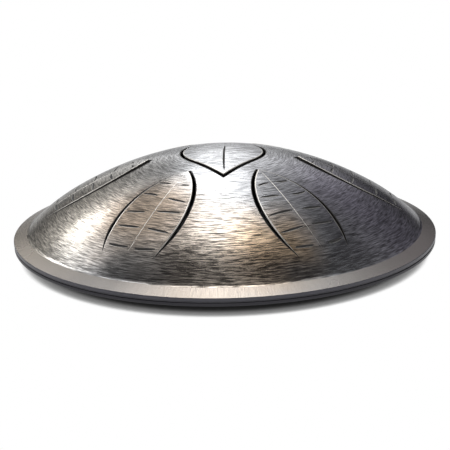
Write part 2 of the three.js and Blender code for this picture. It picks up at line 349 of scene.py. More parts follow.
def ground_steel(name, straight=False):
    material, put, shader = new_material(name)
    place, flat, radius, around = plan_places(put)
    along = put(VECTOR_MATH, [(0.0, 0.0, 1.0), around], "CROSS_PRODUCT")
    on_brim = put(MATH, [radius, valley_end * MM], "GREATER_THAN")
    if straight:
        across = put("ShaderNodeSeparateXYZ", [place], output="Y")
        stretch = put("ShaderNodeCombineXYZ", {"Y": 1.0})
    else:
        across = radius
        stretch = put("ShaderNodeMix", {"Factor": on_brim, 4: around, 5: along}, **VECTORS)

    wander = put("ShaderNodeTexNoise", {"Vector": place, "Scale": 1 / (WANDER_SIZE * MM), "Detail": 1.0})
    drift = put(MATH, [wander, NOISE_MEAN], "SUBTRACT")
    line = put(MATH, [drift, STROKE_WANDER * MM, across], "MULTIPLY_ADD")
    line_step = put(MATH, [line, 1 / (STROKE_WIDTH * MM)], "MULTIPLY")
    line_up = put("ShaderNodeCombineXYZ", {"Z": line_step})
    dome_place = put(VECTOR_MATH, [flat, [1 / (STROKE_LENGTH * MM)] * 3, line_up], "MULTIPLY_ADD")
    brim_step = put(MATH, [radius, 1 / (STROKE_LENGTH * MM)], "MULTIPLY")
    brim_up = put("ShaderNodeCombineXYZ", {"Z": brim_step})
    brim_place = put(VECTOR_MATH, [around, [rim_radius / STROKE_WIDTH] * 3, brim_up], "MULTIPLY_ADD")
    stroke_place = put("ShaderNodeMix", {"Factor": on_brim, 4: dome_place, 5: brim_place}, **VECTORS)
    fine = put("ShaderNodeTexNoise", {"Vector": stroke_place, "Scale": 1.0, "Detail": 2.0})
    coarse = put("ShaderNodeTexNoise", {"Vector": stroke_place, "Scale": COARSE, "Detail": 2.0})
    ground = put(MATH, [coarse, fine], "ADD")
    calm = put(MATH, [on_brim, BRIM_CALM], "MULTIPLY")
    strokes = put("ShaderNodeMix", {"Factor": calm, 2: ground, 3: STROKE_MEAN}, data_type="FLOAT")
    bump = put("ShaderNodeBump", {"Strength": 1.0, "Distance": STROKE_HEIGHT * MM, "Height": strokes})

    cloud = put(
        "ShaderNodeTexNoise", {"Vector": place, "Scale": 1 / (TINT_SIZE * MM), "Detail": 3.0},
        output="Color")
    shift = put(VECTOR_MATH, [cloud, [NOISE_MEAN] * 3], "SUBTRACT")
    tint_place = put(VECTOR_MATH, [shift, [TINT_WANDER * MM] * 3, flat], "MULTIPLY_ADD")
    color = linear(STEEL)
    for spot, reach, tint in TINTS_AND_SHADE:
        share = round_spot(put, tint_place, spot, reach, 1.0, 0.0, "SMOOTHSTEP")
        color = put("ShaderNodeMix", {"Factor": share, 6: color, 7: linear(tint)}, **COLORS)
    bare = put(MATH, [on_brim, BRIM_SHARE], "MULTIPLY")
    color = put("ShaderNodeMix", {"Factor": bare, 6: color, 7: linear(BRIM_STEEL)}, **COLORS)
    rough = put("ShaderNodeMapRange", {
        "Value": cloud, "From Min": CLOUD_RANGE[0], "From Max": CLOUD_RANGE[1],
        "To Min": CLOUD_ROUGHNESS[0], "To Max": CLOUD_ROUGHNESS[1],
    })

    gain = round_spot(put, flat, HARD_PLACE, HARD_REACH, WORN_GAIN[1], WORN_GAIN[0], "LINEAR")
    swing = put(MATH, [strokes, STROKE_MEAN], "SUBTRACT")
    worn = put(MATH, [swing, gain, 1.0], "MULTIPLY_ADD")
    worn = put("ShaderNodeClamp", {"Value": worn, "Min": WORN_LIMITS[0], "Max": WORN_LIMITS[1]})
    color = put("ShaderNodeMix", {"Factor": 1.0, 6: color, 7: worn}, **COLORS, blend_type="MULTIPLY")
    feed(shader, {
        "Base Color": color, "Metallic": 1.0, "Roughness": rough, "Specular Tint": linear(EDGE_TINT),
        "Anisotropic": HIGHLIGHT_STRETCH, "Tangent": stretch, "Normal": bump,
    })
    return material


# Saw-cut steel, made dull and dark as painted shade: the walls of the slots and the shell's edges along
# them, and the inside of the dome as well.
def slot_shade_steel():
    return mottled("slot_shade_dark_steel", 0.8, "#1d1c1c", "#454240", roughness=0.55, metallic=0.8)


# Filed steel: the tongues' edges along the slots, bare metal that draws a fine bright line along them.
def filed_steel():
    return mottled("filed_bright_steel", 1.5, "#8c8985", "#cbc7c1", roughness=0.3, metallic=1.0)


# Chiselled steel with black oxide left in it: the veins, dark at any angle.
def oxide_groove():
    return mottled("chiselled_black_oxide", 1.5, "#141313", "#2b2927", roughness=0.7)


# Scribed steel: the midribs, bare metal in fine bright lines, and the lips of the veins, where the brighter
# metal is a painted highlight along the vein's edge.
def scribed_and_highlight_steel():
    return mottled("scribed_steel_and_lip_highlight", 2.0, "#98938d", "#d9d5cf", roughness=0.32, metallic=1.0)


# Black lacquer over the sheared edge of the sheet: dark, smooth, with a soft gleam.
def lacquered_edge():
    return mottled("black_lacquered_edge", 6.0, "#2b2b31", "#413f48", roughness=0.38, detail=3.0)


# Black polyurethane bond, squeezed out and tooled smooth: matte, with small swells.
def bond():
    return mottled("tooled_polyurethane", 5.0, "#2a292e", "#3a393f", roughness=0.6, relief=0.15)


# Moulded rubber: near black, dull, with a fine cast texture.
def moulded_rubber():
    return mottled("moulded_rubber", 0.6, "#17171a", "#2a2a2c", roughness=0.8, detail=3.0, relief=0.05)


# Spun steel under black lacquer: fine rings from the spinning tool, faint under the coat. The lacquer is
# kept darker than the dome's lacquered edge above it, partly as painted shade on the rim band's lower part.
PAN_RING_WIDTH = 1.2
PAN_RING_HEIGHT = 0.03
PAN_RING_PATCHES = 2.0


def spun_pan_steel_and_shade():
    material, put, shader = new_material("spun_lacquered_steel_and_shade")
    _, _, radius, around = plan_places(put)
    ring_step = put(MATH, [radius, 1 / (PAN_RING_WIDTH * MM)], "MULTIPLY")
    ring_up = put("ShaderNodeCombineXYZ", {"Z": ring_step})
    ring_place = put(VECTOR_MATH, [around, [PAN_RING_PATCHES] * 3, ring_up], "MULTIPLY_ADD")
    rings = put("ShaderNodeTexNoise", {"Vector": ring_place, "Scale": 1.0, "Detail": 2.0})
    color = put("ShaderNodeMix", {"Factor": rings, 6: linear("#232226"), 7: linear("#3a393e")}, **COLORS)
    bump = put("ShaderNodeBump", {"Distance": PAN_RING_HEIGHT * MM, "Height": rings})
    feed(shader, {"Base Color": color, "Metallic": 0.6, "Roughness": 0.42, "Normal": bump})
    return material


# Geometry Nodes trees


def new_tree(name, inputs):
    """A geometry tree with named inputs, the call that adds nodes to it, and what the inputs give."""
    tree = bpy.data.node_groups.new(name, "GeometryNodeTree")
    for label, kind in {"Geometry": "NodeSocketGeometry", **inputs}.items():
        tree.interface.new_socket(label, in_out="INPUT", socket_type=kind)
    tree.interface.new_socket("Geometry", in_out="OUTPUT", socket_type="NodeSocketGeometry")
    return tree, partial(add, tree), tree.nodes.new("NodeGroupInput").outputs


def press_tree(finishes):
    """Presses a flat sheet pattern over the form of the dome. Each point rises to the outer face above its
    place in the pattern, then sinks along the face's normal by its own depth. A tongue's pattern lies along
    X: it is bent up from its root and then turned to its place."""
    inputs = ["Turn", "Lift", "Root", "Bend Length", "Brim Fall", *FORM_LENGTHS]
    tree, put, given = new_tree("press_over_dome", {label: "NodeSocketFloat" for label in inputs})
    place = put("GeometryNodeInputPosition")
    radius = put(VECTOR_MATH, [place], "LENGTH", output="Value")

    square = put(MATH, [radius, radius], "MULTIPLY")
    steep = put(MATH, [radius, given["Crown Radius"]], "DIVIDE")
    fall = put(MATH, [square, given["Crown Radius"]], "DIVIDE")
    height = put(MATH, [fall, -0.5, given["Crown Height"]], "MULTIPLY_ADD")
    zones = [(given["Shoulder Start"], height, steep)]

    for label, limit, sign in (("Shoulder", "Dome Radius", 1.0), ("Valley", "Valley End", -1.0)):
        run = put(MATH, [radius, given[label + " Center Radius"]], "SUBTRACT")
        run_square = put(MATH, [run, run], "MULTIPLY")
        bend = given[label + " Radius"]
        bend_square = put(MATH, [bend, bend], "MULTIPLY")
        rise_square = put(MATH, [bend_square, run_square], "SUBTRACT")
        rise_size = put(MATH, [rise_square], "SQRT")
        rise = put(MATH, [rise_size, sign], "MULTIPLY")
        height = put(MATH, [given[label + " Center Height"], rise], "ADD")
        steep = put(MATH, [run, rise], "DIVIDE")
        zones.append((given[limit], height, steep))

    out = put(MATH, [given["Rim Radius"], radius], "SUBTRACT")
    height = put(MATH, [out, given["Brim Fall"]], "MULTIPLY")
    steep = given["Brim Fall"]
    for limit, zone_height, zone_steep in reversed(zones):
        inner = put("FunctionNodeCompare", {"A": radius, "B": limit}, "LESS_THAN")
        height = put("GeometryNodeSwitch", [inner, height, zone_height], input_type="FLOAT")
        steep = put("GeometryNodeSwitch", [inner, steep, zone_steep], input_type="FLOAT")

    axial = put("ShaderNodeSeparateXYZ", [place])
    free = put(MATH, [given["Root"], axial], "SUBTRACT")
    share = put(MATH, [free, given["Bend Length"]], "DIVIDE", use_clamp=True)
    tilt = put(MATH, [share, given["Lift"]], "MULTIPLY")
    bent = put(MATH, [share, given["Bend Length"]], "MULTIPLY")
    lever = put(MATH, [bent, -0.5, free], "MULTIPLY_ADD")
    raised = put(MATH, [lever, tilt], "MULTIPLY")

    lean_size = put(MATH, [steep, radius], "DIVIDE")
    lean = put(VECTOR_MATH, {0: place, "Scale": lean_size}, "SCALE")
    tilted = put("ShaderNodeCombineXYZ", {"X": tilt, "Z": 1.0})
    upright = put(VECTOR_MATH, [lean, tilted], "ADD")
    outward = put(VECTOR_MATH, [upright], "NORMALIZE")
    turned = put(
        "ShaderNodeVectorRotate", {"Vector": outward, "Angle": given["Turn"]}, rotation_type="Z_AXIS")
    kept = put(
        "GeometryNodeStoreNamedAttribute",
        {"Geometry": given["Geometry"], "Name": "outward", "Value": turned},
        data_type="FLOAT_VECTOR", domain="POINT")

    depth = put("GeometryNodeInputNamedAttribute", {"Name": "depth"}, data_type="FLOAT")
    sunk = put(MATH, [depth, -1.0], "MULTIPLY")
    sink = put(VECTOR_MATH, {0: outward, "Scale": sunk}, "SCALE")
    level = put(MATH, [height, given["Rim Height"]], "ADD")
    lifted = put(MATH, [level, raised], "ADD")
    rise = put("ShaderNodeCombineXYZ", {"Z": lifted})
    offset = put(VECTOR_MATH, [sink, rise], "ADD")
    pressed = put("GeometryNodeSetPosition", {"Geometry": kept, "Offset": offset})
    turn = put("ShaderNodeCombineXYZ", {"Z": given["Turn"]})
    placed = put("GeometryNodeTransform", {"Geometry": pressed, "Rotation": turn})

    piece = put("GeometryNodeRealizeInstances", {"Geometry": placed})
    code = put("GeometryNodeInputNamedAttribute", {"Name": "finish"}, data_type="INT")
    for finish, material in finishes.items():
        chosen = put("FunctionNodeCompare", {2: code, 3: finish}, "EQUAL", data_type="INT")
        piece = put(
            "GeometryNodeSetMaterial", {"Geometry": piece, "Selection": chosen, "Material": material})
    put("NodeGroupOutput", {"Geometry": piece})
    return tree


def turned_tree():
    """Turns a profile round the axis and sets copies of the result on a circle."""
    tree, put, given = new_tree("turned_profile", {
        "Profile Points": "NodeSocketInt", "Segments": "NodeSocketInt", "Copies": "NodeSocketInt",
        "Circle Radius": "NodeSocketFloat", "First Turn": "NodeSocketFloat",
        "Material": "NodeSocketMaterial",
    })
    rows = put(MATH, [given["Segments"], 1.0], "ADD")
    grid = put("GeometryNodeMeshGrid", {"Vertices X": given["Profile Points"], "Vertices Y": rows})
    index = put("GeometryNodeInputIndex")
    share = put(MATH, [index, rows], "DIVIDE")
    station = put(MATH, [share], "FLOOR")
    step = put(MATH, [index, rows], "MODULO")
    part = put(MATH, [step, given["Segments"]], "DIVIDE")
    angle = put(MATH, [part, math.tau], "MULTIPLY")
    place = put("GeometryNodeInputPosition")
    point = put(
        "GeometryNodeSampleIndex", {"Geometry": given["Geometry"], "Value": place, "Index": station},
        data_type="FLOAT_VECTOR", domain="POINT")
    swung = put("ShaderNodeVectorRotate", {"Vector": point, "Angle": angle}, rotation_type="Z_AXIS")
    skin = put("GeometryNodeSetPosition", {"Geometry": grid, "Position": swung})
    closed = put("GeometryNodeMergeByDistance", {"Geometry": skin, "Distance": WELD * MM})

    copy_part = put(MATH, [index, given["Copies"]], "DIVIDE")
    copy_angle = put(MATH, [copy_part, math.tau, given["First Turn"]], "MULTIPLY_ADD")
    reach = put("ShaderNodeCombineXYZ", {"X": given["Circle Radius"]})
    stand = put("ShaderNodeVectorRotate", {"Vector": reach, "Angle": copy_angle}, rotation_type="Z_AXIS")
    stands = put("GeometryNodePoints", {"Count": given["Copies"], "Position": stand})
    copies = put("GeometryNodeInstanceOnPoints", {"Points": stands, "Instance": closed})
    real = put("GeometryNodeRealizeInstances", {"Geometry": copies})
    dressed = put("GeometryNodeSetMaterial", {"Geometry": real, "Material": given["Material"]})
    put("NodeGroupOutput", {"Geometry": dressed})
    return tree


def through_tree(name, mesh, tree, values):
    """Object whose plain mesh is the tree's result."""
    piece = bpy.data.objects.new(name, mesh)
    bpy.context.scene.collection.objects.link(piece)
    modifier = piece.modifiers.new(tree.name, "NODES")
    modifier.node_group = tree
    for item in tree.interface.items_tree:
        if item.in_out == "INPUT" and item.name in values:
            modifier[item.identifier] = values[item.name]
    depsgraph = bpy.context.evaluated_depsgraph_get()
    result = bpy.data.meshes.new_from_object(
        piece.evaluated_get(depsgraph), preserve_all_data_layers=True, depsgraph=depsgraph)
    piece.modifiers.remove(modifier)
    piece.data = result
    result.name = name
    return piece


# Outlines of the leaves, in a leaf's own plan: u runs along its axis from tip to root, v across it


def closing(t):
    """Share of the slot's full width at the share t of the way from tip to root end."""
    return min(1.0, (1 - t) / KERF_RUN_OUT) ** KERF_CLOSING


def outer_leaf_side(tip_radius, gap):
    """Side of a leaf round the dome, offset outwards by a gap that closes at the root end."""
    run = LEAF_WIDEST_RADIUS - tip_radius
    side_radius = (run ** 2 + LEAF_HALF_WIDTH ** 2) / (2 * LEAF_HALF_WIDTH)
    v_center = LEAF_HALF_WIDTH - side_radius
    first = -math.acos(-v_center / (side_radius + gap))
    last = math.asin((LEAF_END_RADIUS - LEAF_WIDEST_RADIUS) / side_radius)
    side = []
    for i in range(SIDE_STEPS + 1):
        t = i / SIDE_STEPS
        angle = lerp(first, last, t)
        reach = side_radius + gap * closing(t)
        side.append((LEAF_WIDEST_RADIUS + reach * math.sin(angle), v_center + reach * math.cos(angle)))
    side[0] = (side[0][0], 0.0)
    return side


def center_leaf_side(gap):
    """Side of the middle leaf, straight from its tip and then round, offset as above."""
    half_tip = CENTER_TIP_ANGLE / 2
    v_center = CENTER_HALF_WIDTH - CENTER_SIDE_RADIUS
    u_center = (CENTER_SIDE_RADIUS + v_center * math.cos(half_tip)) / math.sin(half_tip) - CENTER_TIP
    last = math.asin((CENTER_END - u_center) / CENTER_SIDE_RADIUS)
    flank_steps = SIDE_STEPS // 3
    tip = -CENTER_TIP - gap / math.sin(half_tip)
    joint_u = u_center - (CENTER_SIDE_RADIUS + gap) * math.sin(half_tip)
    joint_v = v_center + (CENTER_SIDE_RADIUS + gap) * math.cos(half_tip)
    side = []
    for i in range(flank_steps):
        t = i / flank_steps
        side.append((lerp(tip, joint_u, t), joint_v * t))
    for i in range(flank_steps, SIDE_STEPS + 1):
        t = (i - flank_steps) / (SIDE_STEPS - flank_steps)
        angle = lerp(-half_tip, last, t)
        reach = CENTER_SIDE_RADIUS + gap * closing(i / SIDE_STEPS)
        side.append((u_center + reach * math.sin(angle), v_center + reach * math.cos(angle)))
    return side


def leaf_chain(side):
    """Both sides of a leaf as one row of points, from one root end round the tip to the other."""
    return [(u, -v) for u, v in reversed(side)] + side[1:]


def seam_row(chain):
    """Straight row across the root, from the chain's last point back to its first."""
    (u0, v0), (u1, v1) = chain[-1], chain[0]
    steps = range(SEAM_STEPS + 1)
    return [(lerp(u0, u1, i / SEAM_STEPS), lerp(v0, v1, i / SEAM_STEPS)) for i in steps]


def turned_row(row, turn):
    cos = math.cos(turn)
    sin = math.sin(turn)
    return [(u * cos - v * sin, u * sin + v * cos) for u, v in row]


# Flat sheet patterns


def inside(points, outline):
    """Which points lie inside a closed outline."""
    points = np.asarray(points)
    outline = np.asarray(outline)
    ahead = np.roll(outline, -1, axis=0)
    found = np.zeros(len(points), bool)
    for (x0, y0), (x1, y1) in zip(outline, ahead):
        if y0 == y1:
            continue
        between = (points[:, 1] < y0) != (points[:, 1] < y1)
        found ^= between & (points[:, 0] < x0 + (points[:, 1] - y0) * (x1 - x0) / (y1 - y0))
    return found


def clear_of(points, rows, least):
    """The points that keep the least distance to every row."""
    points = np.asarray(points)
    keep = np.ones(len(points), bool)
    for row in rows:
        row = np.asarray(row)
        for a, b in zip(row[:-1], row[1:]):
            along = b - a
            share = np.clip((points - a) @ along / max(along @ along, NO_LENGTH), 0, 1)
            keep &= np.linalg.norm(points - a - share[:, None] * along, axis=1) > least
    return points[keep]


class Pattern:
    """A flat sheet pattern: points with a place in plan and a depth below the outer face, and faces with
    a finish."""

    def __init__(self):
        self.points = []
        self.depths = []
        self.faces = []
        self.finishes = []

    def row(self, row, depth):
        first = len(self.points)
        self.points += [tuple(point) for point in row]
        self.depths += list(depth) if isinstance(depth, list) else [depth] * len(row)
        return list(range(first, len(self.points)))

    def strip(self, upper, lower, finish):
        for i in range(len(upper) - 1):
            self.faces.append(tuple(dict.fromkeys((upper[i], lower[i], lower[i + 1], upper[i + 1]))))
            self.finishes.append(finish)

    def fill(self, rows, field, solid, spacing, depth, finish):
        """Fills the solid part of a face with triangles, between its rows and over the points of a field
        that keep clear of them."""
        field = np.array(field)
        field = field[solid(field)]
        lines = [[self.points[i] for i in row] for row in rows]
        loose = self.row(clear_of(field, lines, ROW_CLEARANCE * spacing), depth)
        used = sorted({i for row in rows for i in row} | set(loose))
        number = {point: i for i, point in enumerate(used)}
        plan = [Vector(self.points[i]) for i in used]
        edges = [(number[a], number[b]) for row in rows for a, b in zip(row[:-1], row[1:])]
        places, _, triangles, sources, _, _ = delaunay_2d_cdt(plan, edges, [], 0, SAME_PLACE)
        centers = np.array([sum((places[i] for i in t), Vector((0, 0))) / 3 for t in triangles])
        for triangle, wanted in zip(triangles, solid(centers)):
            if wanted:
                self.faces.append(tuple(used[sources[i][0]] for i in triangle))
                self.finishes.append(finish)

    def mesh(self, name):
        mesh = bpy.data.meshes.new(name)
        mesh.from_pydata([(x * MM, y * MM, 0.0) for x, y in self.points], [], self.faces)
        depth = mesh.attributes.new("depth", "FLOAT", "POINT")
        depth.data.foreach_set("value", [d * MM for d in self.depths])
        finish = mesh.attributes.new("finish", "INT", "FACE")
        finish.data.foreach_set("value", self.finishes)
        return mesh


def groove(pattern, line, width, depth, lip_highlight, finish):
    """Adds a V groove along a line, pointed at both ends, and a lip of bare metal along its left side: a
    flat strip whose brighter metal is a painted highlight of the groove's edge.
    Returns the rows along its two sides."""
    line = np.asarray(line)
    along = np.gradient(line, axis=0)
    along /= np.linalg.norm(along, axis=1)[:, None]
    across = np.stack([-along[:, 1], along[:, 0]], axis=1)
    taper = np.abs(np.sin(np.linspace(0, np.pi, len(line)))) ** GROOVE_TAPER
    ends = pattern.row([line[0], line[-1]], 0.0)
    sections = [(-width / 2, 0.0, finish), (0.0, depth, finish), (width / 2, 0.0, finish)]
    # the lip is flat: its brighter metal is a painted highlight of the groove's edge
    if lip_highlight:
        sections.append((width / 2 + lip_highlight, 0.0, SCRIBED_AND_HIGHLIGHT))
    rows = []
    for side, sink, _ in sections:
        points = line + across * (side * taper)[:, None]
        rows.append([ends[0]] + pattern.row(points[1:-1], list(sink * taper[1:-1])) + [ends[1]])
    for upper, lower, (_, _, look) in zip(rows[:-1], rows[1:], sections[1:]):
        pattern.strip(upper, lower, look)
    return rows[0], rows[-1]


def curved_stroke(start, end, bow):
    """Points from start to end that bow sideways by the given share of the length."""
    start = np.asarray(start, float)
    end = np.asarray(end, float)
    run = end - start
    across = np.array([-run[1], run[0]])
    t = np.linspace(0, 1, STROKE_STEPS + 1)[:, None]
    return start + run * t + across * bow * 4 * t * (1 - t)


def outer_leaf_lines(tip_radius, seed):
    """Midrib and veins of a leaf round the dome, a little different on each leaf, as cut by hand."""
    rng = random.Random(seed)
    side = np.asarray(outer_leaf_side(tip_radius, 0.0))
    root = (LEAF_END_RADIUS - MIDRIB_ROOT_INSET, rng.uniform(-MIDRIB_DRIFT, MIDRIB_DRIFT))
    tip = (tip_radius + MIDRIB_TIP_INSET, 0.0)
    midrib = curved_stroke(tip, root, rng.uniform(-MIDRIB_BOW, MIDRIB_BOW))
    lines = [(midrib, MIDRIB_WIDTH, MIDRIB_DEPTH, 0.0, SCRIBED_AND_HIGHLIGHT)]
    for i in range(VEIN_COUNT):
        for sign in (-1, 1):
            start_u = VEIN_FIRST + VEIN_SPACING * i + rng.uniform(-VEIN_SHIFT, VEIN_SHIFT)
            end_u = start_u - rng.uniform(*VEIN_SLANT)
            reach = np.interp(end_u, side[:, 0], side[:, 1]) - rng.uniform(*VEIN_EDGE)
            start = (start_u, sign * rng.uniform(*VEIN_START))
            end = (end_u, sign * min(reach, VEIN_REACH))
            vein = curved_stroke(start, end, rng.uniform(-VEIN_BOW, VEIN_BOW))[::-sign]
            lines.append((vein, VEIN_WIDTH, VEIN_DEPTH, VEIN_LIP_HIGHLIGHT, VEIN))
    return lines


def center_leaf_lines(seed):
    """Midrib and veins of the middle leaf: there the midrib is cut deep and the veins are fine."""
    rng = random.Random(seed)
    tip = (-CENTER_TIP + CENTER_MIDRIB_INSET, CENTER_MIDRIB_SIDE[0])
    midrib = curved_stroke(tip, (CENTER_MIDRIB_END, CENTER_MIDRIB_SIDE[1]), CENTER_MIDRIB_BOW)
    lines = [(midrib, VEIN_WIDTH, VEIN_DEPTH, 0.0, VEIN)]
    for u, reach in CENTER_VEINS:
        for sign in (-1, 1):
            start_u = u + rng.uniform(-CENTER_VEIN_SHIFT, CENTER_VEIN_SHIFT)
            start = (start_u, sign * rng.uniform(*CENTER_VEIN_START))
            end = (u - rng.uniform(*CENTER_VEIN_SLANT), sign * reach)
            vein = curved_stroke(start, end, rng.uniform(-VEIN_BOW, VEIN_BOW))
            lines.append((vein, MIDRIB_WIDTH, MIDRIB_DEPTH, 0.0, VEIN))
    return lines


def grid_points(low, high, spacing):
    """Staggered points over a rectangle."""
    rise = spacing * math.sqrt(3) / 2
    rows = int((high[1] - low[1]) / rise) + 1
    columns = int((high[0] - low[0]) / spacing) + 1
    return [
        (low[0] + (column + 0.5 * (row % 2)) * spacing, low[1] + row * rise)
        for row in range(rows) for column in range(columns)
    ]


def slot_side(pattern, side_of, sign, turn):
    """Adds one side of a leaf's slot: its edge, filed on a tongue and on the shell given the dark steel of
    painted shade, its wall, and the sheet's section across the root. The sign is -1 for a tongue and 1 for
    the shell. Returns the rows and outlines that bound the outer face and the underside."""
    shares = [closing(i / SIDE_STEPS) for i in range(SIDE_STEPS + 1)]
    shares = shares[::-1] + shares[1:]
    chains = []
    rows = []
    for k in range(EDGE_STEPS + 1):
        angle = math.pi / 2 * k / EDGE_STEPS
        gap = KERF / 2 + EDGE_WIDTH * (1 - math.sin(angle))
        chains.append(turned_row(leaf_chain(side_of(sign * gap)), turn))
        depths = [EDGE_DROP * (1 - math.cos(angle)) * share for share in shares]
        rows.append(pattern.row(chains[-1], depths))
    for upper, lower in zip(rows[:-1], rows[1:]):
        # on the shell the edge takes the dark steel of painted shade
        pattern.strip(upper, lower, FILED if sign < 0 else CUT)
    face, wall = chains[0], chains[-1]
    top = rows[0]
    foot = pattern.row(wall, SHEET)
    pattern.strip(rows[-1], foot, CUT)
    seam = seam_row(wall)
    seam_top = [top[-1]] + pattern.row(seam[1:-1], 0.0) + [top[0]]
    seam_foot = [foot[-1]] + pattern.row(seam[1:-1], SHEET) + [foot[0]]
    pattern.strip(seam_top, seam_foot, CUT)
    return ([top, seam_top], face + seam[1:-1]), ([foot, seam_foot], wall + seam[1:-1])


def tongue_pattern(side_of, lines):
    """Pattern of a leaf tongue, in the leaf's own plan."""
    pattern = Pattern()
    bounds = slot_side(pattern, side_of, -1, 0.0)
    top_rows = bounds[0][0]
    cuts = []
    for line in lines:
        near, far = groove(pattern, *line)
        top_rows.extend([near, far])
        cuts.append([pattern.points[i] for i in near + far[::-1]])
    for (rows, outline), holes, face in zip(bounds, (cuts, []), FACES):
        def solid(places, outline=outline, holes=holes):
            return inside(places, outline) & ~np.any([inside(places, hole) for hole in holes], axis=0)

        corners = np.array(outline)
        field = grid_points(corners.min(axis=0), corners.max(axis=0), face[0])
        pattern.fill(rows, field, solid, *face)
    return pattern


def ring_row(radius):
    """Row of points round the axis."""
    angles = [math.tau * i / RING_POINTS for i in range(RING_POINTS)]
    return [(radius * math.cos(a), radius * math.sin(a)) for a in angles]


def ring_field(limit, spacing):
    """Points in even rings over a disc."""
    points = [(0.0, 0.0)]
    for k in range(1, int(limit / spacing) + 1):
        count = round(math.tau * k)
        for i in range(count):
            angle = math.tau * (i + 0.5 * (k % 2)) / count
            points.append((k * spacing * math.cos(angle), k * spacing * math.sin(angle)))
    return points


def shell_skirt():
    """Radius in plan, depth and finish of the rings from the skirt's start over the rim and back below."""
    slopes = [lerp(foot_slope, BRIM_SLOPE, i / BEND_STEPS) for i in range(BEND_STEPS + 1)]
    face = [lerp(SKIRT_START, DOME_RADIUS, i / SKIRT_STEPS) for i in range(SKIRT_STEPS)]
    face += [valley_center - VALLEY_RADIUS * math.sin(slope) for slope in slopes]
    brim_steps = range(1, SKIRT_STEPS + 1)
    face += [lerp(valley_end, rim_radius - RIM_ROUND, i / SKIRT_STEPS) for i in brim_steps]
    rings = [(r, 0.0, SKIN) for r in face]
    rounding = [(RIM_ROUND * sink, back) for sink, back in RIM_UPPER]
    rounding += [(SHEET - RIM_ROUND * sink, back) for sink, back in RIM_LOWER]
    for depth, back in rounding:
        rings.append((rim_radius - RIM_ROUND * back + depth * math.sin(BRIM_SLOPE), depth, RIM_EDGE))
    rings += [(r, SHEET, UNDERSIDE) for r in reversed(face)]
    return rings


def shell_pattern():
    """Pattern of the dome with its brim and the windows of the seven leaves."""
    pattern = Pattern()
    windows = [(partial(outer_leaf_side, tip), turn) for tip, turn in zip(leaf_tips, leaf_turns)]
    windows.append((center_leaf_side, CENTER_TURN))
    bounds = [slot_side(pattern, side_of, 1, turn) for side_of, turn in windows]

    skirt = shell_skirt()
    rings = []
    for radius, depth, _ in skirt:
        row = pattern.row(ring_row(radius), depth)
        rings.append(row + row[:1])
    for upper, lower, (_, _, finish) in zip(rings[:-1], rings[1:], skirt[1:]):
        pattern.strip(upper, lower, finish)

    for sides, ring, face in zip(zip(*bounds), (rings[0], rings[-1]), FACES):
        rows = [row for side_rows, _ in sides for row in side_rows] + [ring]
        outlines = [outline for _, outline in sides]

        def solid(places, outlines=outlines):
            return ~np.any([inside(places, outline) for outline in outlines], axis=0)

        field = ring_field(SKIRT_START - SKIRT_CLEARANCE * face[0], face[0])
        pattern.fill(rows, field, solid, *face)
    return pattern


def weld_sheet(piece):
    """Welds a pressed sheet shut and gives its faces the normals of the true dome."""
    mesh = piece.data
    form = bmesh.new()
    form.from_mesh(mesh)
    bmesh.ops.remove_doubles(form, verts=form.verts, dist=WELD * MM)
    bmesh.ops.recalc_face_normals(form, faces=form.faces)
    outward = form.verts.layers.float_vector["outward"]
    finish = form.faces.layers.int["finish"]
    normals = []
    for face in form.faces:
        face.smooth = True
        for corner in face.loops:
            lean = Vector(corner.vert[outward])
            if face[finish] == SKIN:
                normals.append(lean)
            elif face[finish] == UNDERSIDE:
                normals.append(-lean)
            else:
                normals.append(face.normal.copy())
    form.to_mesh(mesh)
    form.free()
    for name in ("outward", "finish", "depth"):
        mesh.attributes.remove(mesh.attributes[name])
    mesh.normals_split_custom_set(normals)


def pressed_piece(name, pattern, tree, turn=0.0, lift=0.0, root=0.0):
    """Piece of sheet, pressed from its pattern."""
    values = {label: length * MM for label, length in FORM_LENGTHS.items()}
    values["Brim Fall"] = math.tan(BRIM_SLOPE)
    values["Turn"] = turn
    values["Lift"] = lift
    values["Root"] = root * MM
    values["Bend Length"] = BEND_LENGTH * MM
    piece = through_tree(name, pattern.mesh(name), tree, values)
    weld_sheet(piece)
    return piece


# Turned pieces


def rounded(before, corner, after, radius):
    """Arc that rounds the corner of a profile."""
    corner = Vector(corner)
    to_before = (Vector(before) - corner).normalized()
    to_after = (Vector(after) - corner).normalized()
    half = math.acos(to_before.dot(to_after)) / 2
    center = corner + (to_before + to_after).normalized() * (radius / math.sin(half))
    start = corner + to_before * (radius / math.tan(half)) - center
    turn = math.copysign(math.pi - 2 * half, to_before.x * to_after.y - to_before.y * to_after.x)
    first = math.atan2(start.y, start.x)
    angles = [first - turn * i / BEND_STEPS for i in range(BEND_STEPS + 1)]
    return [(center.x + radius * math.cos(a), center.y + radius * math.sin(a)) for a in angles]


def rounded_loop(corners):
    """Closed profile from corners (r, z, rounding)."""
    loop = []
    for i, (r, z, rounding) in enumerate(corners):
        if rounding:
            loop += rounded(corners[i - 1][:2], (r, z), corners[(i + 1) % len(corners)][:2], rounding)
        else:
            loop.append((r, z))
    return loop


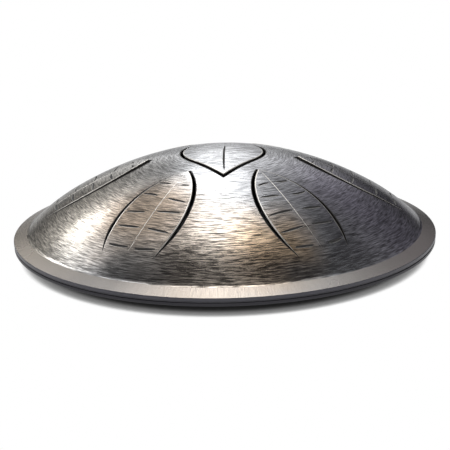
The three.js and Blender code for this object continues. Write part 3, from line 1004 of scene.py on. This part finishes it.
def turned_piece(name, profile, material, tree, copies=1, circle=0.0, first_turn=0.0, segments=RING_POINTS):
    """Piece of revolution from a profile of (r, height from the rim edge)."""
    points = [(r * MM, 0.0, (z + rim_height) * MM) for r, z in profile]
    mesh = bpy.data.meshes.new(name)
    mesh.from_pydata(points, [], [])
    piece = through_tree(name, mesh, tree, {
        "Profile Points": len(points), "Segments": segments, "Copies": copies,
        "Circle Radius": circle * MM, "First Turn": first_turn, "Material": material,
    })
    form = bmesh.new()
    form.from_mesh(piece.data)
    bmesh.ops.remove_doubles(form, verts=form.verts, dist=WELD * MM)
    bmesh.ops.dissolve_degenerate(form, edges=form.edges, dist=WELD * MM)
    bmesh.ops.recalc_face_normals(form, faces=form.faces)
    for face in form.faces:
        face.smooth = True
    form.to_mesh(piece.data)
    form.free()
    piece.data.set_sharp_from_angle(angle=SHARP_ANGLE)
    return piece


def under_brim(r, distance):
    """Height of a line parallel to the brim, the given distance below its outer face."""
    return (rim_radius - r) * math.tan(BRIM_SLOPE) - distance / math.cos(BRIM_SLOPE)


def pan_profile():
    """Section of the pan, from the port along its inner face to the rim and back along its outer face."""
    edge = rim_radius - PAN_INSET
    ridge = edge - PAN_BRIM_WIDTH
    floor_top = PAN_SHEET - PAN_DEPTH
    ridge_top = under_brim(ridge, pan_offset)
    corner = ridge - (ridge_top - floor_top) / math.tan(PAN_WALL_SLOPE)
    corner_shift = PAN_SHEET * math.tan(PAN_WALL_SLOPE / 2)
    ridge_shift = PAN_SHEET * math.tan((PAN_WALL_SLOPE + BRIM_SLOPE) / 2)
    wall_run = (math.sin(PAN_WALL_SLOPE), -math.cos(PAN_WALL_SLOPE))
    ridge_low = (
        ridge + wall_run[0] * PAN_SHEET - math.cos(PAN_WALL_SLOPE) * ridge_shift,
        ridge_top + wall_run[1] * PAN_SHEET - math.sin(PAN_WALL_SLOPE) * ridge_shift,
    )
    loop = rounded_loop([
        (PORT_RADIUS, floor_top, PAN_EDGE_ROUND),
        (corner, floor_top, PAN_CORNER_RADIUS),
        (ridge, ridge_top, PAN_RIDGE_RADIUS),
        (edge, under_brim(edge, pan_offset), PAN_EDGE_ROUND),
        (edge, under_brim(edge, pan_offset + PAN_SHEET), PAN_EDGE_ROUND),
        (ridge_low[0], ridge_low[1], PAN_RIDGE_RADIUS - PAN_SHEET),
        (corner + corner_shift, floor_top - PAN_SHEET, PAN_CORNER_RADIUS + PAN_SHEET),
        (PORT_RADIUS, floor_top - PAN_SHEET, PAN_EDGE_ROUND),
    ])
    return loop + loop[:1]


def bond_profile():
    """Section of the bond line, with its outer face squeezed round."""
    outer = rim_radius - SEAL_INSET
    inner = outer - SEAL_WIDTH
    upper = SHEET + SEAL_GAP
    lower = upper + SEAL_THICKNESS
    loop = rounded_loop([
        (inner, under_brim(inner, upper), 0.0),
        (outer, under_brim(outer, upper), SEAL_ROUND),
        (outer, under_brim(outer, lower), SEAL_ROUND),
        (inner, under_brim(inner, lower), 0.0),
    ])
    return loop + loop[:1]


def foot_profile():
    """Outline of a push-in foot, from the middle of its sole up to the top of its barb."""
    sole = -rim_height
    seat = sole + FOOT_HEIGHT
    neck = FOOT_HOLE_RADIUS - FOOT_NECK_CLEARANCE
    barb = FOOT_HOLE_RADIUS + FOOT_BARB
    catch = PAN_SHEET - PAN_DEPTH + FOOT_SEAT_GAP
    top = catch + FOOT_BARB_HEIGHT
    line = [(0.0, sole), (FOOT_RADIUS, sole), (FOOT_RADIUS, seat), (neck, seat)]
    line += [(neck, catch), (barb, catch), (barb, catch + FOOT_BARB), (neck, top), (0.0, top)]
    profile = [line[0]]
    for i, rounding in enumerate(FOOT_ROUNDS, 1):
        profile += rounded(line[i - 1], line[i], line[i + 1], rounding)
    return profile + [line[-1]]


# Pieces


def drum_pieces():
    """Makes every piece and hides the nodes it replaces; the shell, pan, bond line and feet are set on the
    drum's body.
    """
    shade_dark = slot_shade_steel()
    # the dark steel of UNDERSIDE and CUT is painted shade in the slots and inside the dome
    finishes = {
        SKIN: ground_steel("ring_ground_steel"), UNDERSIDE: shade_dark, CUT: shade_dark, FILED: filed_steel(),
        RIM_EDGE: lacquered_edge(), VEIN: oxide_groove(), SCRIBED_AND_HIGHLIGHT: scribed_and_highlight_steel()}
    press = press_tree(finishes)
    middle_press = press_tree(finishes | {SKIN: ground_steel("straight_ground_steel", straight=True)})
    turned = turned_tree()

    shell = pressed_piece("dome_shell", shell_pattern(), press)
    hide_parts("top_shell")
    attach(shell, "drum")

    middle = tongue_pattern(center_leaf_side, center_leaf_lines(SEED))
    tongues = [
        ("middle_tongue", "center_tongue", "center_leaf", CENTER_TURN, CENTER_LIFT, CENTER_END, middle)]
    for i, (tip, turn, lift) in enumerate(zip(leaf_tips, leaf_turns, leaf_lifts)):
        pattern = tongue_pattern(partial(outer_leaf_side, tip), outer_leaf_lines(tip, SEED + i))
        names = f"leaf_tongue_{i + 1}", f"tongue_{i + 1}", f"leaf_{i + 1}"
        tongues.append((*names, turn, lift, LEAF_END_RADIUS, pattern))
    for name, node, body, turn, lift, root, pattern in tongues:
        tree = middle_press if pattern is middle else press
        tongue = pressed_piece(name, pattern, tree, turn, lift, root)
        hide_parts(node)
        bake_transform(tongue)

    pan = turned_piece("spun_pan", pan_profile(), spun_pan_steel_and_shade(), turned)
    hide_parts("bottom_pan")
    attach(pan, "drum")

    seal = turned_piece("bond_line", bond_profile(), bond(), turned)
    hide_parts("rim_seal")
    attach(seal, "drum")

    feet = turned_piece(
        "push_in_feet", foot_profile(), moulded_rubber(), turned,
        copies=FOOT_COUNT, circle=FOOT_CIRCLE_RADIUS, first_turn=FOOT_FIRST_TURN, segments=FOOT_SEGMENTS)
    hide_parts(*[f"foot_{i + 1}" for i in range(FOOT_COUNT)])
    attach(feet, "drum")


# Stage: pale floor, soft lights and the camera

# The camera is matched to the photograph's view. Its aim is an offset from the middle of the rim.
CAMERA_DISTANCE = 909.7
CAMERA_ELEVATION = math.radians(16.84)
CAMERA_ROLL = math.radians(-1.238)
CAMERA_AIM = (0.32, 0.37, 1.23)
CAMERA_LENS = 101.11
FLOOR_SIZE = 20000.0
PAPER = "#f6f6f6"
ROOM = "#2a2a2c"

# Shadow of an even sky on the floor, by two reaches: a near one at the drum's edge, and one wider than the
# chamber, so that the floor seen through the slots and the port stays dark
SHADOW_REACH = 12.0
SHADOW_RANGE = 0.2, 0.6
SHADOW_FADE = 1.5
SHADOW_DARK = 0.012
COVER_REACH = 240.0
COVER_SHARE = 0.3
SKY_RAYS = 32

# Soft panels round the drum: azimuth from straight behind, elevation, half widths of the full and the
# fading part in degrees, and radiance
PANELS = {
    "far wall, low": (-20, 5, 15, 30, 0.3),
    "far wall, corner": (-12, 10, 3, 8, 1.6),
    "far wall": (6, 22, 8, 20, 1.35),
    "far wall, right": (22, 33, 6, 14, 0.25),
    "lamp behind": (0, 22, 3, 8, 3.6),
    "window": (-40, 34, 3, 8, 8.5),
    "window, outer pane": (-60, 40, 5, 13, 2.2),
    "window, glow": (-35, 30, 8, 20, 0.8),
    "window, top": (-40, 52, 3, 8, 1.4),
    "window, blind": (-38, 63, 3, 8, 1.7),
    "ceiling, left": (-62, 62, 6, 14, 0.25),
    "tall panel": (-3, 46, 5, 13, 4.1),
    "tall panel, left": (-12, 49, 3, 10, 3.0),
    "tall panel, right": (18, 50, 6, 14, 0.6),
    "ceiling panel": (0, 70, 5, 13, 5.4),
    "right wall": (46, 22, 15, 30, 0.3),
    "right wall, top": (48, 64, 5, 13, 0.5),
    "side wall, left": (-100, 20, 10, 24, 2.0),
    "side wall, right": (100, 20, 10, 24, 2.0),
    "behind the camera": (180, 35, 15, 40, 1.8),
}


def floor():
    """Matte paper under the drum. To the eye it is white, with the soft shadow of an even sky."""
    mesh = bpy.data.meshes.new("floor")
    half = FLOOR_SIZE / 2 * MM
    corners = [(-half, -half, 0), (half, -half, 0), (half, half, 0), (-half, half, 0)]
    mesh.from_pydata(corners, [], [(0, 1, 2, 3)])
    piece = bpy.data.objects.new("floor", mesh)
    bpy.context.scene.collection.objects.link(piece)
    material, put, paper = new_material("matte_white_paper")
    feed(paper, {"Base Color": linear(PAPER), "Roughness": 0.9})
    rays = put("ShaderNodeLightPath").node.outputs
    seen = put(MATH, [rays["Is Camera Ray"], rays["Is Glossy Ray"]], "MAXIMUM")
    seen = put(MATH, [seen, rays["Is Transmission Ray"]], "MAXIMUM")
    near_sky, far_sky = [
        put("ShaderNodeAmbientOcclusion", {"Distance": reach * MM}, output="AO", samples=SKY_RAYS)
        for reach in (SHADOW_REACH, COVER_REACH)]
    clear = put(
        "ShaderNodeMapRange", {"Value": near_sky, "From Min": SHADOW_RANGE[0], "From Max": SHADOW_RANGE[1]})
    clear = put(MATH, [clear, SHADOW_FADE], "POWER")
    uncovered = put("ShaderNodeMapRange", {"Value": far_sky, "From Max": COVER_SHARE})
    white = put(MATH, [clear, uncovered], "MULTIPLY")
    white = put(MATH, [white, SHADOW_DARK], "MAXIMUM")
    lit = put("ShaderNodeEmission", {"Strength": white})
    shown = put("ShaderNodeMixShader", [seen, paper.outputs["BSDF"], lit])
    feed(material.node_tree.nodes["Material Output"], {"Surface": shown})
    mesh.materials.append(material)


def studio_world():
    """A dim room with soft panels in it."""
    world = bpy.data.worlds.new("studio")
    world.use_nodes = True
    put = partial(add, world.node_tree)
    look = put("ShaderNodeTexCoord", output="Generated")
    light = linear(ROOM)[:3]
    for azimuth, elevation, core, reach, radiance in PANELS.values():
        turn, rise, core, reach = [math.radians(angle) for angle in (azimuth, elevation, core, reach)]
        toward = (math.cos(rise) * math.sin(turn), math.cos(rise) * math.cos(turn), math.sin(rise))
        facing = put(VECTOR_MATH, [look, toward], "DOT_PRODUCT", output="Value")
        share = put(
            "ShaderNodeMapRange",
            {"Value": facing, "From Min": math.cos(reach), "From Max": math.cos(core)},
            interpolation_type="SMOOTHSTEP")
        light = put(VECTOR_MATH, [share, [radiance] * 3, light], "MULTIPLY_ADD")
    feed(world.node_tree.nodes["Background"], {"Color": light})
    bpy.context.scene.world = world


def camera():
    """Camera at the photograph's viewing angle."""
    forward = Vector((0, math.cos(CAMERA_ELEVATION), -math.sin(CAMERA_ELEVATION)))
    rim_center = Vector((0, 0, rim_height))
    place = rim_center - forward * CAMERA_DISTANCE
    look = (rim_center + Vector(CAMERA_AIM) - place).normalized()
    right = look.cross(Vector((0, 0, 1))).normalized()
    up = right.cross(look)
    turn = Matrix((right, up, -look)).transposed().to_4x4() @ Matrix.Rotation(CAMERA_ROLL, 4, "Z")
    data = bpy.data.cameras.new("photo_view")
    data.lens = CAMERA_LENS
    eye = bpy.data.objects.new("photo_view", data)
    eye.matrix_world = Matrix.Translation(place * MM) @ turn
    bpy.context.scene.collection.objects.link(eye)
    bpy.context.scene.camera = eye


def stage():
    floor()
    studio_world()
    camera()
    bpy.context.scene.view_settings.view_transform = "Standard"


drum_pieces()
stage()
